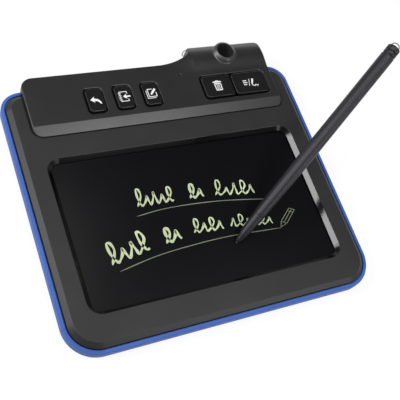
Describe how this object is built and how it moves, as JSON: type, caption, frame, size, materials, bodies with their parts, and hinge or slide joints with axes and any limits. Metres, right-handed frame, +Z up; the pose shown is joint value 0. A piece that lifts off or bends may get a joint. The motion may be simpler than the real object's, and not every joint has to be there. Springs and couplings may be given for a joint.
{
  "type": "signature pad",
  "caption": "Counter signature pad: recessed LCD writing window in a dark cover over a blue tray, raised key bar with a round pen holder, and a separate stylus.",
  "frame": {"origin": "middle of the blue case's flat underside, which stands one millimetre above the counter on four rubber feet", "axes": "+X from left to right as the writer sits, +Y away from the writer towards the key bar, +Z up out of the screen"},
  "size_m": [0.2025, 0.1673, 0.0824],
  "materials": {
    "case_blue": "satin moulded plastic, saturated blue",
    "cover_grey": "fine satin texture, dark grey",
    "bar_grey": "fine satin texture, darker grey",
    "key_black": "smooth satin, near black, with white printed symbols",
    "screen_black": "dark display film behind an anti-glare layer",
    "board_green": "solder-masked circuit board",
    "chip_black": "moulded epoxy",
    "ribbon_amber": "amber film",
    "steel": "bright steel",
    "tin": "tinned sheet",
    "copper": "enamelled copper winding",
    "rubber": "matt black rubber",
    "pen_grey": "satin dark grey",
    "nib_grey": "hard grey plastic"
  },
  "bodies": {
    "pad": {"bottom_case": "case_blue", "top_cover": "cover_grey", "rear_cover": "bar_grey", "lcd_panel": "screen_black", "digitizer_board": "board_green", "shield_plate": "tin", "ribbon_cable": "ribbon_amber", "key_board": "board_green", "main_board": "board_green", "controller_chip": "chip_black", "undo_switch": "tin", "import_switch": "tin", "note_switch": "tin", "clear_switch": "tin", "mode_switch": "tin", "reset_switch": "tin", "usb_socket": "tin", "pen_holder": "bar_grey", "tether_loop": "steel", "foot_1": "rubber", "foot_2": "rubber", "foot_3": "rubber", "foot_4": "rubber", "screw_1": "steel", "screw_2": "steel", "screw_3": "steel", "screw_4": "steel", "screw_5": "steel", "screw_6": "steel", "screw_7": "steel", "screw_8": "steel", "screw_9": "steel"},
    "undo_key": {"undo_key": "key_black"},
    "import_key": {"import_key": "key_black"},
    "note_key": {"note_key": "key_black"},
    "clear_key": {"clear_key": "key_black"},
    "mode_key": {"mode_key": "key_black"},
    "pen": {"pen_nose": "pen_grey", "pen_barrel": "pen_grey", "pen_coil": "copper", "pen_sensor": "chip_black", "pen_core_board": "board_green", "pen_tail": "pen_grey", "pen_loop": "steel"},
    "nib": {"pen_nib": "nib_grey"}
  },
  "joints": [
    {"name": "undo_press", "type": "slide", "parent": "pad", "child": "undo_key", "axis": [0, 0, -1], "range_m": [0, 0.0005], "stiffness_N_per_m": 800, "springref_m": -0.0015},
    {"name": "import_press", "type": "slide", "parent": "pad", "child": "import_key", "axis": [0, 0, -1], "range_m": [0, 0.0005], "stiffness_N_per_m": 800, "springref_m": -0.0015},
    {"name": "note_press", "type": "slide", "parent": "pad", "child": "note_key", "axis": [0, 0, -1], "range_m": [0, 0.0005], "stiffness_N_per_m": 800, "springref_m": -0.0015},
    {"name": "clear_press", "type": "slide", "parent": "pad", "child": "clear_key", "axis": [0, 0, -1], "range_m": [0, 0.0005], "stiffness_N_per_m": 800, "springref_m": -0.0015},
    {"name": "mode_press", "type": "slide", "parent": "pad", "child": "mode_key", "axis": [0, 0, -1], "range_m": [0, 0.0005], "stiffness_N_per_m": 800, "springref_m": -0.0015},
    {"name": "pen_lift", "type": "slide", "parent": "pad", "child": "pen", "axis": [0.6944, 0.4785, 0.5375], "range_m": [0, 0.06]},
    {"name": "nib_plunge", "type": "slide", "parent": "pen", "child": "nib", "axis": [0.6944, 0.4785, 0.5375], "range_m": [0, 0.0004], "stiffness_N_per_m": 1500, "springref_m": -0.0005}
  ]
}
